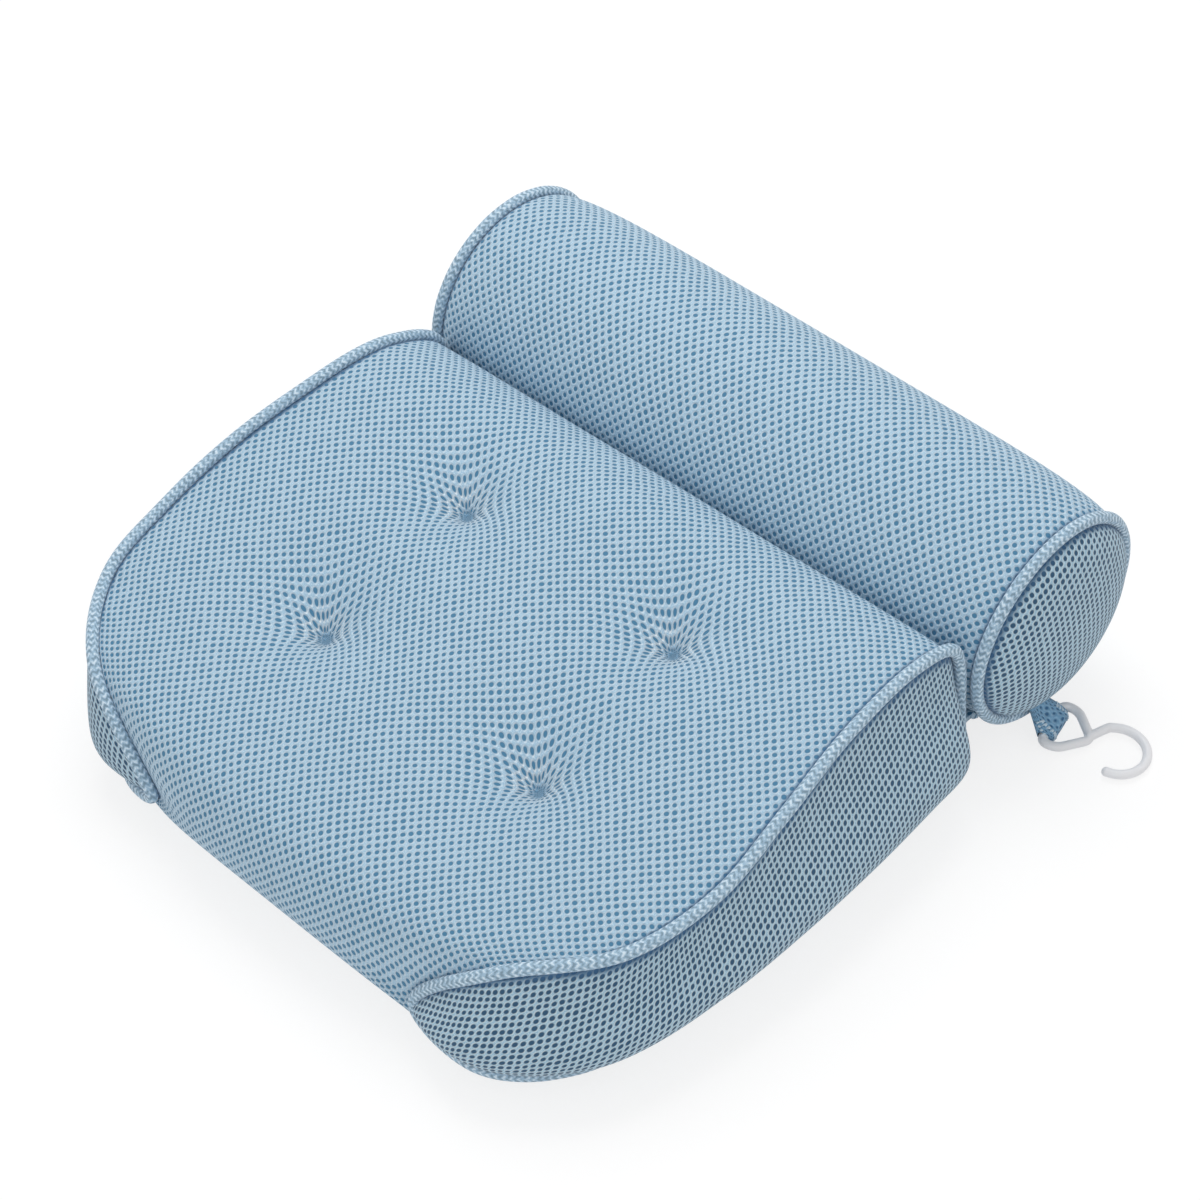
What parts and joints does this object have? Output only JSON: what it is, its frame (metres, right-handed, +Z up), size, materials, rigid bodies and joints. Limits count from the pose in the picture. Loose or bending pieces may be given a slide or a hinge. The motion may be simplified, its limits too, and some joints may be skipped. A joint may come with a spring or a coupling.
{
  "type": "bath pillow",
  "caption": "Air-mesh bath pillow: a tufted wedge cushion for neck and shoulders, hinged in fabric to a round bolster, on suction cups, with a plastic drying hook on a tab",
  "frame": {"origin": "middle of the footprint of the whole object, on the surface that the suction cups stand on", "axes": "+X along the bolster towards the end with the hook, -Y towards the front of the neck cushion, +Z up"},
  "size_m": [0.418, 0.3952, 0.1194],
  "materials": {
    "air_mesh": "soft spacer mesh, matt, with small round holes in staggered rows",
    "piping": "fine knitted tape over a soft cord, matt",
    "binding": "folded spacer mesh with an overlocked edge, matt",
    "filling": "white fibre filling, matt",
    "thread": "twisted sewing thread, slight sheen",
    "clear_vinyl": "translucent soft vinyl, glossy",
    "white_plastic": "white moulded plastic, satin"
  },
  "bodies": {
    "cushion": {"main_cover": "air_mesh", "main_core": "filling", "main_end_left": "air_mesh", "main_end_right": "air_mesh", "main_piping_left": "piping", "main_piping_right": "piping", "tuft_tie_1": "thread", "tuft_tie_2": "thread", "tuft_tie_3": "thread", "tuft_tie_4": "thread", "cup_washer_1": "white_plastic", "cup_washer_2": "white_plastic", "cup_washer_3": "white_plastic", "cup_washer_4": "white_plastic", "hinge_strip": "binding"},
    "bolster": {"bolster_cover": "air_mesh", "bolster_core": "filling", "bolster_end_left": "air_mesh", "bolster_end_right": "air_mesh", "bolster_piping_left": "piping", "bolster_piping_right": "piping", "cup_washer_5": "white_plastic", "cup_washer_6": "white_plastic"},
    "tab": {"hook_tab": "binding"},
    "hook": {"hook": "white_plastic"},
    "cup_1": {"suction_cup_1": "clear_vinyl"},
    "cup_2": {"suction_cup_2": "clear_vinyl"},
    "cup_3": {"suction_cup_3": "clear_vinyl"},
    "cup_4": {"suction_cup_4": "clear_vinyl"},
    "cup_5": {"suction_cup_5": "clear_vinyl"},
    "cup_6": {"suction_cup_6": "clear_vinyl"}
  },
  "joints": [
    {"name": "bolster_fold", "type": "hinge", "parent": "cushion", "child": "bolster", "pos_m": [-0.02236, 0.08461, 0.014], "axis": [1, 0, 0], "range_deg": [-110, 0], "deforming": ["hinge_strip"]},
    {"name": "tab_flex", "type": "hinge", "parent": "bolster", "child": "tab", "pos_m": [0.15379, 0.12861, 0.01589], "axis": [0, -1, 0], "range_deg": [-20, 40]},
    {"name": "hook_swing", "type": "hinge", "parent": "tab", "child": "hook", "pos_m": [0.16074, 0.13151, 0.0053], "axis": [0.2402, -0.9707, 0], "range_deg": [-60, 45]},
    {"name": "cup_1_spin", "type": "hinge", "parent": "cushion", "child": "cup_1", "pos_m": [-0.10457, 0.01828, 0], "axis": [0, 0, 1], "continuous": true},
    {"name": "cup_2_spin", "type": "hinge", "parent": "cushion", "child": "cup_2", "pos_m": [0.10585, 0.01828, 0], "axis": [0, 0, 1], "continuous": true},
    {"name": "cup_3_spin", "type": "hinge", "parent": "cushion", "child": "cup_3", "pos_m": [-0.09543, -0.13159, 0], "axis": [0, 0, 1], "continuous": true},
    {"name": "cup_4_spin", "type": "hinge", "parent": "cushion", "child": "cup_4", "pos_m": [0.09521, -0.13159, 0], "axis": [0, 0, 1], "continuous": true},
    {"name": "cup_5_spin", "type": "hinge", "parent": "bolster", "child": "cup_5", "pos_m": [-0.11682, 0.13661, 0], "axis": [0, 0, 1], "continuous": true},
    {"name": "cup_6_spin", "type": "hinge", "parent": "bolster", "child": "cup_6", "pos_m": [0.0721, 0.13661, 0], "axis": [0, 0, 1], "continuous": true}
  ]
}
